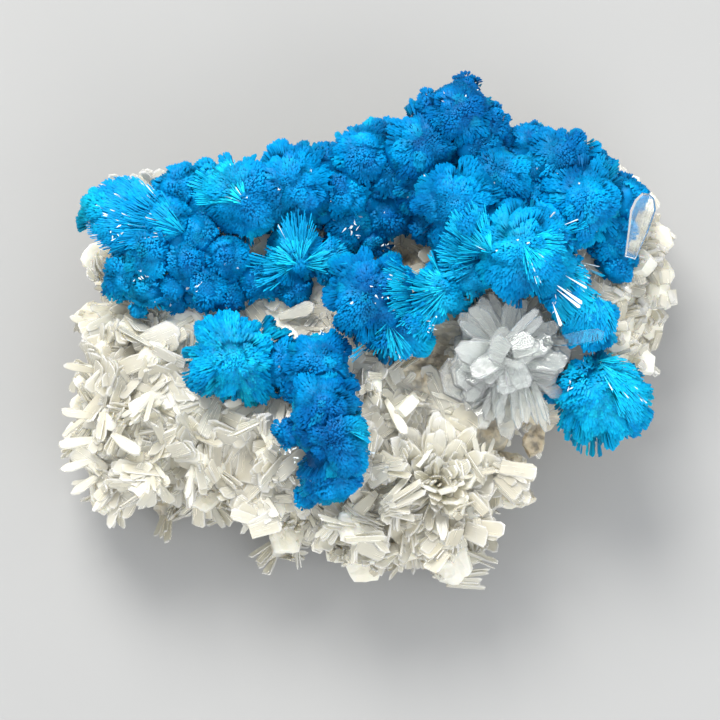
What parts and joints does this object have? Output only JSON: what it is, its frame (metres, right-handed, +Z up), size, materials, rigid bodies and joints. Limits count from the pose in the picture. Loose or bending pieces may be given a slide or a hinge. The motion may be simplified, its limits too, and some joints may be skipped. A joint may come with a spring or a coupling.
{
  "type": "cavansite mineral specimen",
  "caption": "Hand-sized mineral specimen: a crust of blue radiating cavansite rosettes on a block covered in pale bladed stilbite, resting on a flat base.",
  "frame": {"origin": "centre of the bounding box at the rest face, z = 0", "axes": "+Z up from the rest face; +X along the long side; +Y towards the edge that the blue crust overhangs"},
  "size_m": [0.0689, 0.0541, 0.0314],
  "materials": {
    "stilbite": "translucent cream crystal blades with a pearly face",
    "clear_stilbite": "clear colourless crystal",
    "cavansite": "velvety radiating needles, deep blue with turquoise edges"
  },
  "bodies": {
    "root": {"stilbite_matrix": "stilbite", "cavansite_crust": "cavansite", "cavansite_cluster_south": "cavansite", "cavansite_rosette_east": "cavansite", "stilbite_sheaf": "clear_stilbite", "clear_stilbite_blade": "clear_stilbite"}
  },
  "joints": []
}
